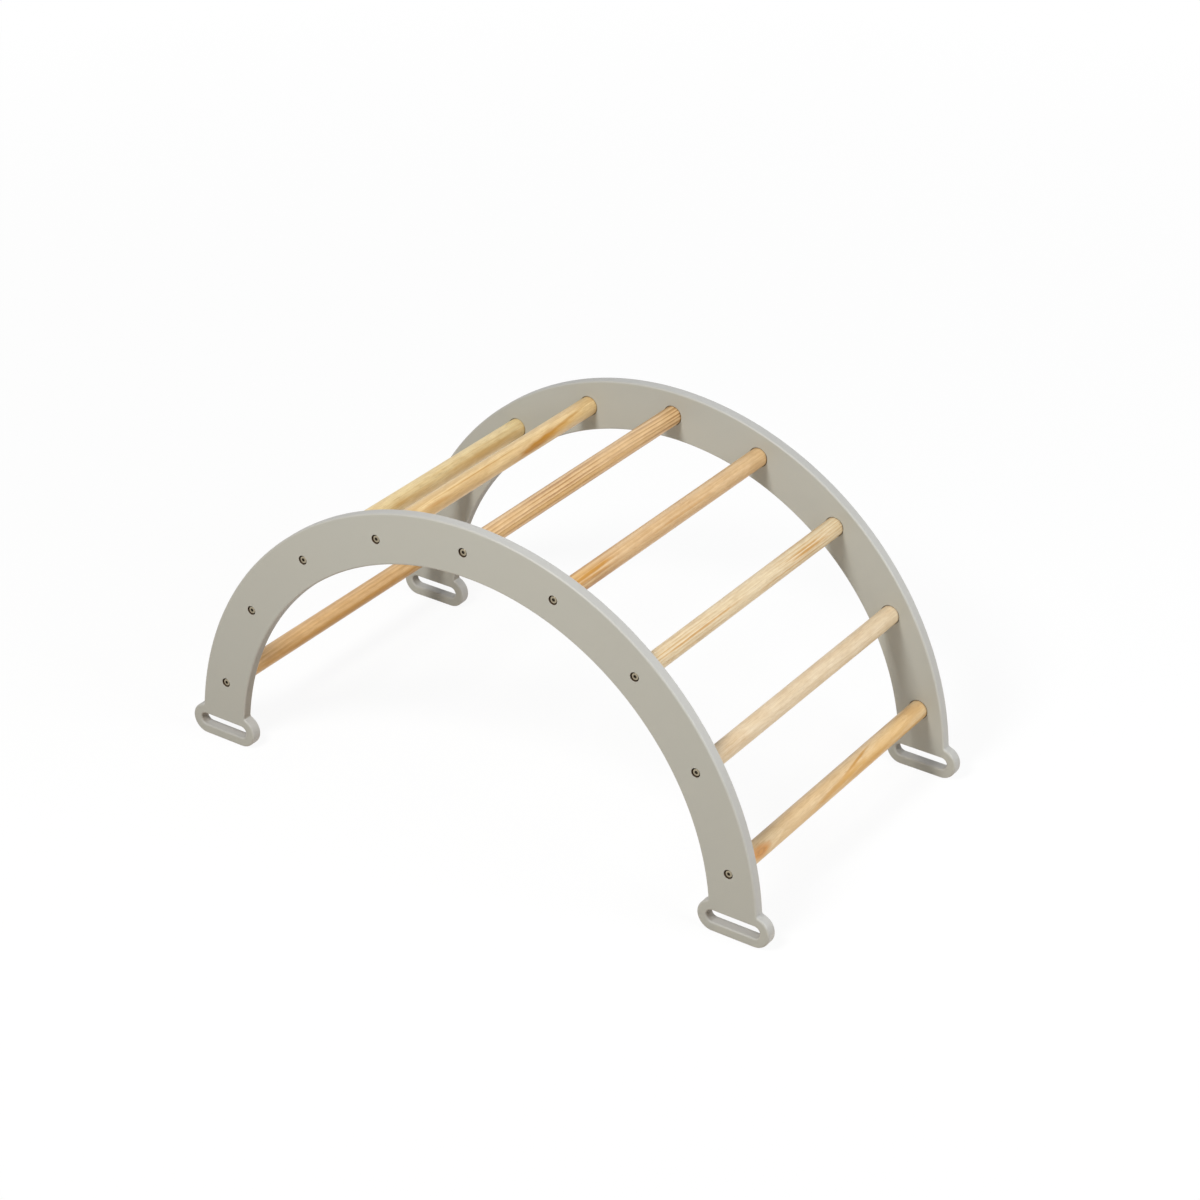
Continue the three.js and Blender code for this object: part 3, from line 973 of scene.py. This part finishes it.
def plated_metal(name, color, worn_color, roughness):
    """Plating over turned steel: cloudy, with fine turning marks, and painted shade darkening it near the
    axis, in the key socket.
    """
    material = new_material(name)
    tree = material.node_tree
    place = own_place(tree)
    from_axis = length_of(tree, scaled(tree, place, (1, 0, 1)))
    clouds = even_noise(tree, place, PLATING_CLOUD_PER_METRE, PLATING_CLOUD_DETAIL)
    plating = blended(tree, clouds, color, worn_color)
    # Painted shade: within a few millimetres of the axis, in the key socket and on the thread's roots,
    # the metal is darkened strongly.
    socket_shade = spread(tree, from_axis, *SOCKET_SHADE_REACH, SOCKET_SHADE_SHARE, 0.0)
    turning = line_noise(tree, from_axis, TURNING_PER_METRE)
    return finish_material(
        material,
        {
            "Base Color": blended(tree, socket_shade, plating, SOCKET_SHADE_COLOR),
            "Roughness": spread(tree, clouds, 0.0, 1.0, *roughness),
            "Normal": bumped(tree, turning, TURNING_HEIGHT),
            "Metallic": 1.0,
        },
    )


def add_side_fitting(kind, side, number, mesh, material, start):
    """Sets a bolt or an insert on the rung's axis, pointing into the arch from that side."""
    fitting = add_piece(f"{kind}_{side}_{number}", mesh, material)
    centre = rung_centre(number)
    outer_y, inward = outer_faces[f"side_panel_{side}"]
    fitting.location = (centre.x, outer_y + inward * start, centre.y)
    fitting.rotation_euler.z = 0 if inward > 0 else math.pi


bolt = bolt_mesh()
bronze_plate = plated_metal("bronze_plate", BRONZE_COLOR, BRONZE_WORN_COLOR, BRONZE_ROUGHNESS)
head_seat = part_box("bolt_front_1")[0].y + BOLT_HEAD_HEIGHT - outer_faces["side_panel_front"][0]
for side in ("front", "back"):
    for number in RUNG_NUMBERS:
        add_side_fitting("bolt", side, number, bolt, bronze_plate, head_seat)


# The threaded inserts. Each is a zinc-plated steel sleeve with a coarse wood thread outside, screwed
# into the end grain of a rung with a hexagon key, and holds the bolt's thread.
INSERT_RADIUS = 0.005
INSERT_ROOT_RADIUS = 0.0043
INSERT_LENGTH = 0.015
INSERT_PITCH = 0.0025
INSERT_COLLAR = 0.0012
INSERT_KEY_WIDTH = 0.0064
INSERT_KEY_DEPTH = 0.005
INSERT_BORE_RADIUS = 0.0033
INSERT_TIP_BEVEL = 0.001
INSERT_RIM_BEVEL = 0.0002
KEY_RUNOUT = 0.0004
SAME_PLACE = 0.00001
ZINC_COLOR = (0.52, 0.53, 0.54, 1)
ZINC_DULL_COLOR = (0.36, 0.37, 0.38, 1)
ZINC_ROUGHNESS = (0.28, 0.48)


def insert_mesh():
    """From the inner end of the bore out through the key's hexagon and back down the wood thread."""
    thread_end = INSERT_LENGTH - INSERT_TIP_BEVEL
    rings = [
        round_ring(INSERT_BORE_RADIUS, INSERT_LENGTH),
        round_ring(INSERT_BORE_RADIUS, INSERT_KEY_DEPTH + KEY_RUNOUT),
        hexagon_ring(INSERT_KEY_WIDTH, INSERT_KEY_DEPTH),
        hexagon_ring(INSERT_KEY_WIDTH, 0),
        round_ring(INSERT_RADIUS - INSERT_RIM_BEVEL, 0),
        round_ring(INSERT_RADIUS, INSERT_RIM_BEVEL),
        round_ring(INSERT_RADIUS, INSERT_COLLAR),
    ]
    rings += thread_rings(INSERT_COLLAR, thread_end, INSERT_ROOT_RADIUS, INSERT_RADIUS, INSERT_PITCH)
    rings.append(round_ring(INSERT_RADIUS - INSERT_TIP_BEVEL, INSERT_LENGTH))
    rings.append(rings[0])
    bm = bmesh.new()
    skin_rings(bm, rings)
    bmesh.ops.remove_doubles(bm, verts=bm.verts, dist=SAME_PLACE)
    return finish_mesh(bm, "threaded_insert")


insert = insert_mesh()
zinc_plate = plated_metal("zinc_plate", ZINC_COLOR, ZINC_DULL_COLOR, ZINC_ROUGHNESS)
insert_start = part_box("threaded_insert_front_1")[0].y - outer_faces["side_panel_front"][0]
for side in ("front", "back"):
    for number in RUNG_NUMBERS:
        add_side_fitting(
            "threaded_insert", side, number, insert, zinc_plate, insert_start
        )
